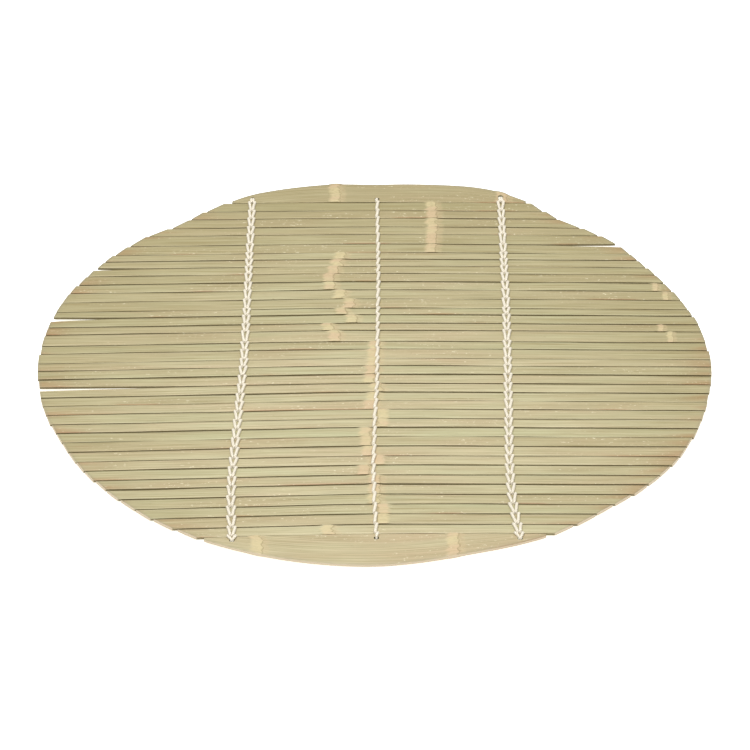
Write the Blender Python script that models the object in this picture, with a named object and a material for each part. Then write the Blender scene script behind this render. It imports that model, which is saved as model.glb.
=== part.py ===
# Round bamboo steamer mat: split bamboo slats sewn side by side with three cotton cords.
# Metres, +Z up. The slats run along X, the cords along Y, and the mat lies flat on z = 0.

import math
import random

import bmesh
import bpy
import numpy as np
from mathutils import Matrix, Vector

MM = 0.001

# The whole mat
MAT_RADIUS = 120 * MM
# The rim is cut by hand: degrees from +X towards +Y, and how far it lies outside the circle in mm
RIM_SHAPE = ((0, 0.6), (12, 0.2), (30, -1.5), (42, -0.2), (54, -1.9), (58, 0.2), (60, 1.8), (65, 4.6),
             (70, 5.5), (80, 2.4), (90, 0.3), (98, 1.9), (113, 2.7), (117, 1.0), (121, 0.2), (129, -3.0),
             (135, -0.5), (150, 0.2), (165, 0.8), (205, 0.0), (222, 1.2), (240, 1.3), (270, 0.9),
             (286, -1.7), (298, -0.4), (311, -0.9), (328, 1.2), (345, 0.4))
SLAT_COUNT = 38
FAR_SEAM = 107.6 * MM     # middle of the gap beside the far end piece, at x = 0
NEAR_SEAM = -103.0 * MM   # middle of the gap beside the near end piece, at x = 0
GAP = 0.9 * MM            # open gap between neighbours, where the cords cross
SEED = 11
RIM_ROUNDS = 24           # halving steps that find where a line meets the rim

# The bamboo, standing on the cords' undersides
SLAT_BOTTOM = 0.9 * MM
SLAT_THICK = 1.2 * MM
SLAT_TOP = SLAT_BOTTOM + SLAT_THICK
EDGE_BEVEL = 0.3 * MM
USUAL_PITCH = 5.5 * MM    # slat and gap together
PITCH_SCATTER = 0.1 * MM
# Slats split wider or narrower than usual, counted from the far end: slat, pitch
ODD_PITCH = {1: 5.7, 2: 5.3, 3: 6.1, 4: 5.2, 5: 6.7, 6: 5.8, 7: 4.6, 8: 4.9, 9: 4.8, 12: 5.9,
             13: 6.3, 14: 4.2, 16: 4.9, 17: 7.1, 18: 4.6, 19: 6.0, 20: 4.7, 29: 5.7, 30: 5.7,
             32: 5.7, 35: 5.9, 37: 5.8, 38: 5.0}
RIM_SCATTER = 0.5 * MM    # how far a slat's end may stop short of the rim
TRUE_RIM = 9 * MM         # slats nearer to y = 0 than this reach the rim

# The slats droop towards the near side left and right of the middle, in degrees
LEFT_DROOP = {"far": 1.1, "near": 2.7}
RIGHT_DROOP = {"far": 1.0, "near": 0.3}
BOW_SOFTNESS = 16 * MM

# Culm nodes: first slat, last slat, node's x on the first and on the last in mm
NODE_RUNS = (
    (1, 6, 21.7, 21.4),
    (7, 10, -12.4, -16.9),
    (11, 13, -16.5, -9.3),
    (14, 15, -12.2, -8.3),
    (16, 17, -17.0, -14.4),
    (18, 22, 0.2, -1.6),
    (23, 25, 0.9, -1.5),
    (26, 27, 2.6, 2.6),
    (28, 30, -3.3, -2.2),
    (31, 31, 1.5, 1.5),
    (32, 32, -3.6, -3.6),
    (33, 35, 0.0, 0.0),
    (36, 37, 2.9, 2.7),
    (38, 38, -15.8, -15.8),
    (11, 12, 103.6, 106.9),
    (16, 17, 103.8, 107.0),
)
FAR_PIECE_NODES = (-15.0 * MM, 48.7 * MM)
NEAR_PIECE_NODES = (-39.6 * MM, 26.7 * MM)
NODE_RISE = 0.3 * MM
NODE_CREST = 1.2 * MM     # half length of the node's top
NODE_FOOT = 3.6 * MM      # half length of the whole swelling

# Gaps that open at one end: gap, side, where it starts, extra at the rim on the far and near slat
OPEN_ENDS = (
    (6, 1, 50 * MM, 0.9 * MM, 0.9 * MM),
    (9, -1, 87 * MM, 0.8 * MM, 0.8 * MM),
    (15, -1, 95 * MM, 0.7 * MM, 1.2 * MM),
    (23, -1, 78 * MM, 1.0 * MM, 0.9 * MM),
)

# The wide end pieces
ARC_STEPS = 9             # straight steps of the round edge, from the middle to a tip
TIP_WIDTH = 1.2 * MM      # width left at the cut-off tips
HOLE_RADIUS = 1.0 * MM
HOLE_SIDES = 16

# The cords: y and x along each route, from the far hole to the near hole, in mm
CORD_ROUTES = {
    "cord_left": ((110.0, -46.5), (0.0, -46.75), (-20.0, -47.4), (-70.0, -49.0),
                  (-85.0, -48.9), (-107.4, -47.9)),
    "cord_centre": ((109.6, 1.0), (56.0, 1.4), (0.0, 0.95), (-16.0, 0.85),
                    (-34.0, 0.15), (-67.0, -0.4), (-84.0, -0.05), (-105.9, 0.7)),
    "cord_right": ((111.0, 48.0), (38.0, 48.2), (0.0, 47.7), (-25.0, 47.3),
                   (-64.0, 46.6), (-77.0, 46.7), (-87.0, 47.2), (-106.2, 49.0)),
}
# Half spread of the strands at a slat's far and near edge, strand width, web width, band width
DOUBLE_CORD = {"far": 1.1 * MM, "near": 0.36 * MM, "strand": 0.8 * MM, "web": 2.2 * MM,
               "band": 2.6 * MM}
SINGLE_CORD = {"far": 0.34 * MM, "near": -0.34 * MM, "strand": 0.9 * MM, "web": 1.2 * MM,
               "band": 1.5 * MM}
BAND_THICK = 0.6 * MM     # the strands under the slats, pressed flat
STITCH_BOTTOM = SLAT_TOP + NODE_RISE + 0.3 * MM
STITCH_TOP = STITCH_BOTTOM + 0.7 * MM
STRAND_OVERLAP = 0.12 * MM
WEB_THICK = 0.3 * MM      # the strands that cross in a gap
WEB_BOTTOM = BAND_THICK / 2
WEB_TOP = (STITCH_BOTTOM + STITCH_TOP) / 2
END_POST_RADIUS = 0.6 * MM
END_POST_SIDES = 8

# Base colours as sRGB, and roughness
BAMBOO_TONES = (("bamboo_straw", (0.80, 0.77, 0.60)), ("bamboo_green", (0.75, 0.76, 0.59)),
                ("bamboo_olive", (0.74, 0.71, 0.52)), ("bamboo_tan", (0.78, 0.72, 0.54)))
BAMBOO_ROUGHNESS = 0.55
COTTON_COLOUR = (0.95, 0.92, 0.86)
COTTON_ROUGHNESS = 0.9


# Scene and materials

def clear_scene():
    for old in list(bpy.data.objects):
        bpy.data.objects.remove(old, do_unlink=True)


def new_collection(name):
    collection = bpy.data.collections.new(name)
    bpy.context.scene.collection.children.link(collection)
    return collection


def to_linear(channel):
    return channel / 12.92 if channel <= 0.04045 else ((channel + 0.055) / 1.055) ** 2.4


def make_material(name, colour, roughness):
    material = bpy.data.materials.new(name)
    material.use_nodes = True
    shader = material.node_tree.nodes["Principled BSDF"]
    shader.inputs["Base Color"].default_value = tuple(to_linear(c) for c in colour) + (1.0,)
    shader.inputs["Roughness"].default_value = roughness
    shader.inputs["Metallic"].default_value = 0.0
    return material


def add_object(name, shape, material, collection):
    mesh = bpy.data.meshes.new(name)
    shape.to_mesh(mesh)
    shape.free()
    mesh.materials.append(material)
    piece = bpy.data.objects.new(name, mesh)
    collection.objects.link(piece)
    return piece


# Boxes, cut across where they bend

def cut_box(size, cuts, axis):
    shape = bmesh.new()
    bmesh.ops.create_cube(shape, size=1.0)
    bmesh.ops.scale(shape, vec=Vector(size), verts=shape.verts)
    return cut_across(shape, cuts, axis)


def cut_across(shape, cuts, axis):
    for place in cuts:
        everything = shape.verts[:] + shape.edges[:] + shape.faces[:]
        bmesh.ops.bisect_plane(shape, geom=everything, plane_co=axis * place, plane_no=axis)
    return shape


def bevelled_strip(length, width, cuts):
    # A flat strip of bamboo along X whose two long top edges are eased
    shape = cut_box((length, width, SLAT_THICK), (), Vector((1, 0, 0)))
    long_top_edges = [edge for edge in shape.edges
                      if all(v.co.z > 0 for v in edge.verts)
                      and abs(edge.verts[0].co.x - edge.verts[1].co.x) > length / 2]
    bmesh.ops.bevel(shape, geom=long_top_edges, offset=EDGE_BEVEL, segments=1, affect="EDGES")
    return cut_across(shape, cuts, Vector((1, 0, 0)))


def add_bar(shape, start, end, width, low, high, overhang):
    # A straight bar from one point to another, seen from above, between two heights
    run = Vector((end[0] - start[0], end[1] - start[1], 0))
    turn = Matrix.Rotation(math.atan2(run.y, run.x), 4, "Z")
    size = Matrix.Diagonal((run.length + 2 * overhang, width, high - low, 1))
    middle = Vector(((start[0] + end[0]) / 2, (start[1] + end[1]) / 2, (low + high) / 2))
    bmesh.ops.create_cube(shape, size=1.0, matrix=Matrix.Translation(middle) @ turn @ size)


# Where the rim and the gaps run

def rim_radius(x, y):
    angles, offsets = zip(*RIM_SHAPE)
    return MAT_RADIUS + float(np.interp(math.degrees(math.atan2(y, x)), angles, offsets, period=360)) * MM


def rim_y(x, direction):
    # y of the rim at x, on the far side for 1 and on the near side for -1
    y = direction * MAT_RADIUS
    for _ in range(RIM_ROUNDS):
        y = (y + direction * math.sqrt(max(rim_radius(x, y) ** 2 - x ** 2, 0.0))) / 2
    return y


def seam_places():
    # y at x = 0 of the middle of each gap, from the far end piece to the near one
    chance = random.Random(SEED)
    pitches = []
    for number in range(1, SLAT_COUNT + 1):
        pitch = ODD_PITCH[number] * MM if number in ODD_PITCH else USUAL_PITCH
        pitches.append(pitch + chance.uniform(-PITCH_SCATTER, PITCH_SCATTER))
    fit = (FAR_SEAM - NEAR_SEAM) / sum(pitches)
    places = [FAR_SEAM]
    for pitch in pitches:
        places.append(places[-1] - pitch * fit)
    return places


def soft_ramp(distance):
    # Zero before the middle of the mat, then a straight slope, with a soft bend between
    return (distance + math.hypot(distance, BOW_SOFTNESS) - BOW_SOFTNESS) / 2


def bow(x, y):
    # The slats' droop at x, for a line that crosses the middle at y
    farness = (y + MAT_RADIUS) / (2 * MAT_RADIUS)
    left = LEFT_DROOP["near"] + (LEFT_DROOP["far"] - LEFT_DROOP["near"]) * farness
    right = RIGHT_DROOP["near"] + (RIGHT_DROOP["far"] - RIGHT_DROOP["near"]) * farness
    return -math.tan(math.radians(left)) * soft_ramp(-x) - math.tan(math.radians(right)) * soft_ramp(x)


def seam_middle(seams, gap, x):
    return seams[gap - 1] + bow(x, seams[gap - 1])


def opening(seams, gap, x, towards_far):
    # What a slat gives way beside a gap that opens at the rim
    for open_gap, side, start, far_extra, near_extra in OPEN_ENDS:
        if gap == open_gap and side * x > start:
            rim = math.sqrt(MAT_RADIUS ** 2 - seams[gap - 1] ** 2)
            share = min((side * x - start) / (rim - start), 1.0)
            return share * (far_extra if towards_far else near_extra)
    return 0.0


def seam_edge(seams, gap, x, towards_far):
    # y of the bamboo's edge beside a gap, on its far or near side
    reach = GAP / 2 + opening(seams, gap, x, towards_far)
    return seam_middle(seams, gap, x) + (reach if towards_far else -reach)


# Bamboo

def node_places(number):
    places = []
    for first, last, first_x, last_x in NODE_RUNS:
        if first <= number <= last:
            share = (number - first) / max(last - first, 1)
            places.append((first_x + (last_x - first_x) * share) * MM)
    return places


def node_swell(x, nodes):
    swell = 0.0
    for node in nodes:
        slope = (abs(x - node) - NODE_CREST) / (NODE_FOOT - NODE_CREST)
        swell = max(swell, NODE_RISE * (1 - min(max(slope, 0.0), 1.0)))
    return swell


def node_cuts(nodes):
    return [node + reach for node in nodes for reach in (-NODE_FOOT, -NODE_CREST, NODE_CREST, NODE_FOOT)]


def rim_x(seams, number, across, side, shortfall):
    # Where a line along a slat meets the rim; across is 0 at the near edge and 1 at the far one
    x = side * MAT_RADIUS
    for _ in range(RIM_ROUNDS):
        y = slat_y(seams, number, across, x)
        radius = rim_radius(x, y) - shortfall
        x = (x + side * math.sqrt(max(radius ** 2 - y ** 2, 0.0))) / 2
    return x


def slat_y(seams, number, across, x):
    far_edge = seam_edge(seams, number, x, False)
    near_edge = seam_edge(seams, number + 1, x, True)
    return near_edge + (far_edge - near_edge) * across


def make_slat(seams, number, chance):
    middle = (seams[number - 1] + seams[number]) / 2
    width = seams[number - 1] - seams[number] - GAP
    shortfall = {side: chance.uniform(0, RIM_SCATTER) if abs(middle) > TRUE_RIM else 0.0
                 for side in (-1, 1)}
    half_length = math.sqrt(MAT_RADIUS ** 2 - middle ** 2)
    # The strip is stretched to the rim below, so its nodes are placed before that stretch
    ends = {side: rim_x(seams, number, 0.5, side, shortfall[side]) for side in (-1, 1)}
    nodes = [node * half_length / abs(ends[-1 if node < 0 else 1]) for node in node_places(number)]
    cuts = node_cuts(nodes) + [-BOW_SOFTNESS, BOW_SOFTNESS]
    for gap, side, start, _, _ in OPEN_ENDS:
        if gap in (number, number + 1):
            cuts.append(side * start)
    shape = bevelled_strip(2 * half_length, width, cuts)
    for v in shape.verts:
        across = v.co.y / width + 0.5
        side = -1 if v.co.x < 0 else 1
        end = rim_x(seams, number, across, side, shortfall[side])
        x = end * abs(v.co.x) / half_length
        swell = node_swell(v.co.x, nodes) if v.co.z > 0 else 0.0
        v.co = (x, slat_y(seams, number, across, x), v.co.z + SLAT_TOP - SLAT_THICK / 2 + swell)
    return shape


def end_piece_tip(inner_edge, direction, side):
    # x where the piece between the inner edge and the rim is as narrow as its cut-off tip
    inside, outside = 0.0, MAT_RADIUS
    for _ in range(RIM_ROUNDS):
        x = (inside + outside) / 2
        width = direction * (rim_y(side * x, direction) - inner_edge(side * x))
        if width > TIP_WIDTH:
            inside = x
        else:
            outside = x
    return inside


def make_end_piece(seams, gap, direction, nodes):
    # direction is 1 for the far piece and -1 for the near one
    def inner_edge(x):
        return seam_edge(seams, gap, x, direction > 0)

    tips = {side: end_piece_tip(inner_edge, direction, side) for side in (-1, 1)}
    depth = direction * (rim_y(0.0, direction) - inner_edge(0.0))
    cuts = node_cuts(nodes) + [0.0]
    for side in (-1, 1):
        cuts += [side * tips[side] * step / ARC_STEPS for step in range(1, ARC_STEPS)]
    shape = bevelled_strip(2 * max(tips.values()), depth, cuts)
    for v in shape.verts:
        side = -1 if v.co.x < 0 else 1
        x = side * min(abs(v.co.x), tips[side])
        outwards = 0.5 + direction * v.co.y / depth
        outer = rim_y(x, direction)
        inner = inner_edge(x)
        swell = node_swell(x, nodes) if v.co.z > 0 else 0.0
        v.co = (x, inner + (outer - inner) * outwards, v.co.z + SLAT_TOP - SLAT_THICK / 2 + swell)
    return shape


def cut_hole(piece, number, place, collection):
    cutter_shape = bmesh.new()
    bmesh.ops.create_cone(cutter_shape, cap_ends=True, segments=HOLE_SIDES, radius1=HOLE_RADIUS,
                          radius2=HOLE_RADIUS, depth=4 * SLAT_THICK,
                          matrix=Matrix.Translation((place[0], place[1], SLAT_TOP)))
    cutter = add_object(f"{piece.name}_hole_{number}", cutter_shape, piece.data.materials[0], collection)
    cutter.hide_render = True
    cutter.display_type = "WIRE"
    hole = piece.modifiers.new(f"Hole {number}", "BOOLEAN")
    hole.operation = "DIFFERENCE"
    hole.solver = "EXACT"
    hole.object = cutter


# Cords

def cord_x(route, y):
    ys = [place[0] * MM for place in reversed(route)]
    xs = [place[1] * MM for place in reversed(route)]
    return float(np.interp(y, ys, xs))


def cord_hole(route, index):
    return (route[index][1] * MM, route[index][0] * MM)


def make_band(route, width):
    # The strands under the slats, one flat band from hole to hole
    far_y = route[0][0] * MM + END_POST_RADIUS
    near_y = route[-1][0] * MM - END_POST_RADIUS
    length = far_y - near_y
    middle = (far_y + near_y) / 2
    cuts = [place[0] * MM - middle for place in route[1:-1]]
    shape = cut_box((width, length, BAND_THICK), cuts, Vector((0, 1, 0)))
    for v in shape.verts:
        y = v.co.y + middle
        v.co = (v.co.x + cord_x(route, y), y, v.co.z + BAND_THICK / 2)
    return shape


def make_stitches(seams, route, cord):
    # The strands over the slats, one pair or one diagonal a slat, and the webs through the gaps
    strand_sides = (-1, 1) if cord is DOUBLE_CORD else (1,)
    points = [cord_hole(route, 0)]
    for gap in range(1, SLAT_COUNT + 2):
        guess = cord_x(route, seams[gap - 1])
        y = seam_middle(seams, gap, guess)
        points.append((cord_x(route, y), y))
    points.append(cord_hole(route, -1))
    shape = bmesh.new()
    last = len(points) - 2
    for index, (far, near) in enumerate(zip(points, points[1:])):
        far_spread = 0.0 if index == 0 else cord["far"]
        near_spread = cord["near"]
        if index == 0:
            near_spread = cord["far"]
        if index == last:
            near_spread = 0.0
        for side in strand_sides:
            start = (far[0] + side * far_spread, far[1])
            end = (near[0] + side * near_spread, near[1])
            add_bar(shape, start, end, cord["strand"], STITCH_BOTTOM, STITCH_TOP, STRAND_OVERLAP)
    for gap in range(1, SLAT_COUNT + 2):
        x = points[gap][0]
        sides = (x - cord["web"] / 2, x + cord["web"] / 2)
        ends = [(place, seam_middle(seams, gap, place)) for place in sides]
        add_bar(shape, ends[0], ends[1], WEB_THICK, WEB_BOTTOM, WEB_TOP, 0.0)
    for place in (points[0], points[-1]):
        middle = (place[0], place[1], (WEB_BOTTOM + WEB_TOP) / 2)
        bmesh.ops.create_cone(shape, cap_ends=True, segments=END_POST_SIDES, radius1=END_POST_RADIUS,
                              radius2=END_POST_RADIUS, depth=WEB_TOP - WEB_BOTTOM,
                              matrix=Matrix.Translation(middle))
    return shape


def make_cord(name, seams, cord, material, collection, cutters):
    route = CORD_ROUTES[name]
    piece = add_object(name, make_band(route, cord["band"]), material, collection)
    stitches = add_object(name + "_stitches", make_stitches(seams, route, cord), material, cutters)
    stitches.hide_render = True
    stitches.display_type = "WIRE"
    joined = piece.modifiers.new("Stitches", "BOOLEAN")
    joined.operation = "UNION"
    joined.solver = "EXACT"
    joined.use_self = True
    joined.object = stitches


# The mat

clear_scene()
mat = new_collection("bamboo_steamer_mat")
cutter_shapes = new_collection("cutters")
bamboo = [make_material(name, colour, BAMBOO_ROUGHNESS) for name, colour in BAMBOO_TONES]
cotton = make_material("cotton_cord", COTTON_COLOUR, COTTON_ROUGHNESS)

seam_list = seam_places()
dice = random.Random(SEED + 1)
for slat_number in range(1, SLAT_COUNT + 1):
    slat = make_slat(seam_list, slat_number, dice)
    add_object(f"slat_{slat_number:02d}", slat, dice.choice(bamboo), mat)

far_piece = add_object("end_piece_far", make_end_piece(seam_list, 1, 1, FAR_PIECE_NODES), bamboo[0], mat)
near_piece = add_object("end_piece_near",
                        make_end_piece(seam_list, SLAT_COUNT + 1, -1, NEAR_PIECE_NODES), bamboo[1], mat)
for hole_number, cord_route in enumerate(CORD_ROUTES.values(), 1):
    cut_hole(far_piece, hole_number, cord_hole(cord_route, 0), cutter_shapes)
    cut_hole(near_piece, hole_number, cord_hole(cord_route, -1), cutter_shapes)

make_cord("cord_left", seam_list, DOUBLE_CORD, cotton, mat, cutter_shapes)
make_cord("cord_centre", seam_list, SINGLE_CORD, cotton, mat, cutter_shapes)
make_cord("cord_right", seam_list, DOUBLE_CORD, cotton, mat, cutter_shapes)
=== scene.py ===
import math
import random

import bmesh
import bpy
import numpy as np
from mathutils import Matrix, Vector
from mathutils.bvhtree import BVHTree


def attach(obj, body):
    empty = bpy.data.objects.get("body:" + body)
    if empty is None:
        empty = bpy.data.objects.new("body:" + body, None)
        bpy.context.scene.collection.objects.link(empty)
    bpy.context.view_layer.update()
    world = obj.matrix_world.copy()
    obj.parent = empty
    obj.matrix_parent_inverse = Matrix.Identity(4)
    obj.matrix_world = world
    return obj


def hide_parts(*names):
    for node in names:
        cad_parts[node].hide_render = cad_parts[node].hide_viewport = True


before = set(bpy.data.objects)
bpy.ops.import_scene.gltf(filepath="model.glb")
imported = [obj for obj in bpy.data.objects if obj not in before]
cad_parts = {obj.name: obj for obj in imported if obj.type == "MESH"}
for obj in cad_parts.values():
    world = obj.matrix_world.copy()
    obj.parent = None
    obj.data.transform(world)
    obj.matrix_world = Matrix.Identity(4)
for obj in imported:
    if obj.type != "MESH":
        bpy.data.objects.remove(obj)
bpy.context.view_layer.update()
print("frame loaded:", len(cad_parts), "nodes")

mm = 0.001
slatNames = sorted(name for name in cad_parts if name.startswith("slat_"))


# helpers for nodes, colours and meshes

def toLinear(hexColour):
    channels = [int(hexColour[i:i + 2], 16) / 255 for i in (1, 3, 5)]
    return [c / 12.92 if c <= 0.04045 else ((c + 0.055) / 1.055) ** 2.4 for c in channels] + [1.0]


def addNode(tree, kind, inputs=None, **settings):
    # inputs maps a socket's name or number to a value, a socket or a node whose first output is used
    node = tree.nodes.new(kind)
    for name, value in settings.items():
        setattr(node, name, value)
    for key, value in (inputs or {}).items():
        if isinstance(value, bpy.types.Node):
            value = value.outputs[0]
        if isinstance(value, bpy.types.NodeSocket):
            tree.links.new(value, node.inputs[key])
        else:
            node.inputs[key].default_value = value
    return node


def startTree(name, sockets):
    tree = bpy.data.node_groups.new(name, "GeometryNodeTree")
    tree.interface.new_socket("Geometry", in_out="INPUT", socket_type="NodeSocketGeometry")
    for label, kind in sockets.items():
        tree.interface.new_socket(label, in_out="INPUT", socket_type="NodeSocket" + kind)
    tree.interface.new_socket("Geometry", in_out="OUTPUT", socket_type="NodeSocketGeometry")
    return tree, tree.nodes.new("NodeGroupInput").outputs, tree.nodes.new("NodeGroupOutput")


def growMesh(host, tree, values):
    # runs a Geometry Nodes tree on the host and keeps the result as the host's plain mesh
    modifier = host.modifiers.new(tree.name, "NODES")
    modifier.node_group = tree
    for item in tree.interface.items_tree:
        if item.in_out == "INPUT" and item.name in values:
            modifier[item.identifier] = values[item.name]
    evaluated = host.evaluated_get(bpy.context.evaluated_depsgraph_get())
    grown = bpy.data.meshes.new_from_object(evaluated)
    grown.name = host.name
    host.modifiers.remove(modifier)
    host.data = grown
    triangles = sum(len(polygon.vertices) - 2 for polygon in grown.polygons)
    print(f"{host.name}: {triangles} triangles")
    return host


def newPiece(name, points, facts=None):
    # a host of loose points, each with its own facts for the tree to read
    mesh = bpy.data.meshes.new(name)
    mesh.from_pydata(list(points), [], [])
    for fact, values in (facts or {}).items():
        layer = mesh.attributes.new(fact, "INT" if fact == "strip" else "FLOAT", "POINT")
        layer.data.foreach_set("value", values)
    piece = bpy.data.objects.new(name, mesh)
    bpy.context.scene.collection.objects.link(piece)
    return piece


def newGuide(name, lines, widths=None):
    # one poly spline for each line of points, for a tree to follow; widths scale a strand along it
    curve = bpy.data.curves.new(name, "CURVE")
    curve.dimensions = "3D"
    for number, line in enumerate(lines):
        spline = curve.splines.new("POLY")
        spline.points.add(len(line) - 1)
        for index, place in enumerate(line):
            spline.points[index].co = (*place, 1.0)
            spline.points[index].radius = widths[number][index] if widths else 1.0
    guide = bpy.data.objects.new(name, curve)
    bpy.context.scene.collection.objects.link(guide)
    return guide


# materials

bamboo = {
    "straw": "#BBB490",
    "green": "#B2AF89",
    "tan": "#B3A07E",
    "olive": "#93875D",       # older bamboo, and the mat's darker rim
    "side": "#655A37",        # split sides and hole walls, darkened as painted shade for the gaps and holes
    "cut": "#B4A48B",         # sawn ends
    "rimShadeColour": "#8A846C",     # painted shade on top beside a sawn end
    "cream": "#CABA8E",       # culm nodes
    "peach": "#CAB08C",
    "mottle": "#B99C79",
    "hairline": "#6F6038",
    "stain": "#97683B",
    "speck": "#7C6D47",
    "nick": "#DDD6B5",
    # streaks: length along the fibres and width across them
    "band": (85 * mm, 2.4 * mm),
    "fibre": (42 * mm, 0.42 * mm),
    "hair": (11 * mm, 0.22 * mm),
    "fleck": (1.4 * mm, 0.6 * mm),
    "patch": (34 * mm, 6 * mm),
    # a culm node's rings: centre and half length along the slat, blur and strength
    "paleRing": (0.0, 1.3 * mm, 1.3 * mm, 0.75),
    "mottledRing": (2.8 * mm, 0.7 * mm, 1.0 * mm, 0.3),
    "darkRing": (1.8 * mm, 0.06 * mm, 0.24 * mm, 0.5),
    "raggedness": (1.2 * mm, 4.5 * mm),   # of the rings' edges, from fibre to fibre and band to band
    # distances at which a mark is still full and at which it has gone
    "edgeStain": (0.1 * mm, 0.5 * mm),    # from a split edge
    "endStain": (1 * mm, 11 * mm),        # from a sawn end
    "paintedRimShade": (0.4 * mm, 1.2 * mm),      # painted rim shade, from a sawn end
    "sawnEnd": (0.02 * mm, 0.1 * mm),     # from a sawn end
    "slatsReach": (98 * mm, 104 * mm),    # from the mat's middle, for end stains
    "paintedRimShadeStrength": (0.3, 0.8),        # painted rim shade at the middle and at the far side
    "farSide": 90 * mm,
    # marks in the noise: the level at which one starts, the level at which it is full, and its strength
    "oldFibres": (0.46, 0.7, 0.75),
    "grooves": (0.63, 0.72, 0.3),
    "specks": (0.72, 0.76, 0.45),
    "nicks": (0.35, 0.3, 0.85),
    "nickPatches": (0.52, 0.62, 1.0),
    "edgeStains": (0.64, 0.7, 0.55),
    "endStains": (0.5, 0.62, 0.35),
    "bandShift": 0.45,                    # how far a broad band moves between straw and green
    "patchShift": (-0.15, 0.45),          # and how far a patch moves towards tan
    "palestCentre": (0.0, -50 * mm),       # where the mat is palest
    "palestReach": (105 * mm, 118 * mm),
    "rimDarkening": (0.45, 1.35, 0.5),          # darker and more olive away from there, in reaches: start, full and strength
    "sideStrength": 0.9,
    "roughness": 0.55,
    "relief": 0.03 * mm,
}


def makeSplitBamboo():
    # Bamboo split along its fibres and planed: matt straw to green, streaked lengthwise, never varnished.
    # The attribute "fibre" is (along, across, up) in metres, with a lane of its own for each slat.
    material = bpy.data.materials.new("splitBamboo")
    material.use_nodes = True
    tree = material.node_tree
    shader = tree.nodes["Principled BSDF"]
    kind, ramp = "ShaderNodeMath", "ShaderNodeMapRange"
    fibre = addNode(tree, "ShaderNodeAttribute", attribute_name="fibre").outputs["Vector"]
    facts = {name: addNode(tree, "ShaderNodeAttribute", attribute_name=name).outputs["Fac"]
             for name in ("tone", "warmth", "age", "nodeOffset", "edgeOffset", "rimOffset")}

    def streaks(name, detail, roughness=0.55):
        # thin noise drawn out along the fibres
        length, width = bamboo[name]
        stretched = addNode(tree, "ShaderNodeVectorMath", {0: fibre, 1: (1 / length, 1 / width, 1 / width)},
                            operation="MULTIPLY")
        return addNode(tree, "ShaderNodeTexNoise", {"Vector": stretched, "Scale": 1.0, "Detail": detail,
                                                    "Roughness": roughness}).outputs["Fac"]

    def coat(under, over, share):
        # a coat of colour over what lies below it; both are sockets or names of colours
        colours = [toLinear(bamboo[c]) if isinstance(c, str) else c for c in (under, over)]
        return addNode(tree, "ShaderNodeMix", {0: share, 6: colours[0], 7: colours[1]},
                       data_type="RGBA").outputs[2]

    def beside(fact, mark):
        # 1 at a split edge or a sawn end and 0 where the mark has gone
        full, gone = bamboo[mark]
        return addNode(tree, ramp, {0: facts[fact], 1: full, 2: gone, 3: 1.0, 4: 0.0})

    bands = streaks("band", 2.0)
    fibres = streaks("fibre", 3.0, 0.6)
    hairs = streaks("hair", 2.0, 0.6)
    flecks = streaks("fleck", 2.0)
    patches = streaks("patch", 1.0)

    marks = {}
    for name, noise in (("oldFibres", fibres), ("grooves", fibres), ("specks", flecks), ("nicks", flecks),
                        ("nickPatches", patches), ("edgeStains", patches), ("endStains", patches)):
        start, full, strength = bamboo[name]
        marks[name] = addNode(tree, ramp, {0: noise, 1: start, 2: full, 3: 0.0, 4: strength})

    # ground colour: the slat's own tone and warmth, shifted in broad bands
    shift = bamboo["bandShift"]
    bandShift = addNode(tree, ramp, {0: bands, 1: 0.3, 2: 0.7, 3: -shift, 4: shift})
    greenness = addNode(tree, kind, {0: facts["tone"], 1: bandShift}, operation="ADD", use_clamp=True)
    cooler, warmer = bamboo["patchShift"]
    patchShift = addNode(tree, ramp, {0: patches, 1: 0.35, 2: 0.7, 3: cooler, 4: warmer})
    warmth = addNode(tree, kind, {0: facts["warmth"], 1: patchShift}, operation="ADD", use_clamp=True)
    ground = coat(coat("straw", "green", greenness), "tan", warmth)

    # more olive on older slats and along dark fibres, and darker towards the rim and the far side
    place = addNode(tree, "ShaderNodeTexCoord").outputs["Object"]
    centre, reach = bamboo["palestCentre"], bamboo["palestReach"]
    away = addNode(tree, "ShaderNodeVectorMath", {0: place, 1: (1 / reach[0], 1 / reach[1], 0.0),
                                                  2: (-centre[0] / reach[0], -centre[1] / reach[1], 0.0)},
                   operation="MULTIPLY_ADD")
    distance = addNode(tree, "ShaderNodeVectorMath", {0: away}, operation="LENGTH").outputs["Value"]
    start, full, strength = bamboo["rimDarkening"]
    byPlace = addNode(tree, ramp, {0: distance, 1: start, 2: full, 3: 0.0, 4: strength})
    old = addNode(tree, kind, {0: facts["age"], 1: byPlace}, operation="ADD")
    oldness = addNode(tree, kind, {0: old, 1: marks["oldFibres"]}, operation="ADD", use_clamp=True)
    aged = coat(ground, "olive", oldness)
    fibreLight = addNode(tree, ramp, {0: fibres, 1: 0.3, 2: 0.48, 3: 1.1, 4: 1.0})
    hairLight = addNode(tree, ramp, {0: hairs, 1: 0.3, 2: 0.7, 3: 0.9, 4: 1.1})
    light = addNode(tree, kind, {0: fibreLight, 1: hairLight}, operation="MULTIPLY")
    streaked = addNode(tree, "ShaderNodeVectorMath", {0: aged, "Scale": light}, operation="SCALE").outputs[0]

    # dark grooves along the fibres, brown specks, and pale nicks in rougher patches
    grooved = coat(streaked, "hairline", marks["grooves"])
    specked = coat(grooved, "speck", marks["specks"])
    nickShare = addNode(tree, kind, {0: marks["nicks"], 1: marks["nickPatches"]}, operation="MULTIPLY")
    nicked = coat(specked, "nick", nickShare)

    # an orange-brown stain that runs here and there along a split edge
    onEdge = beside("edgeOffset", "edgeStain")
    edgeShare = addNode(tree, kind, {0: marks["edgeStains"], 1: onEdge}, operation="MULTIPLY")
    browned = coat(nicked, "stain", edgeShare)

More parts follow.
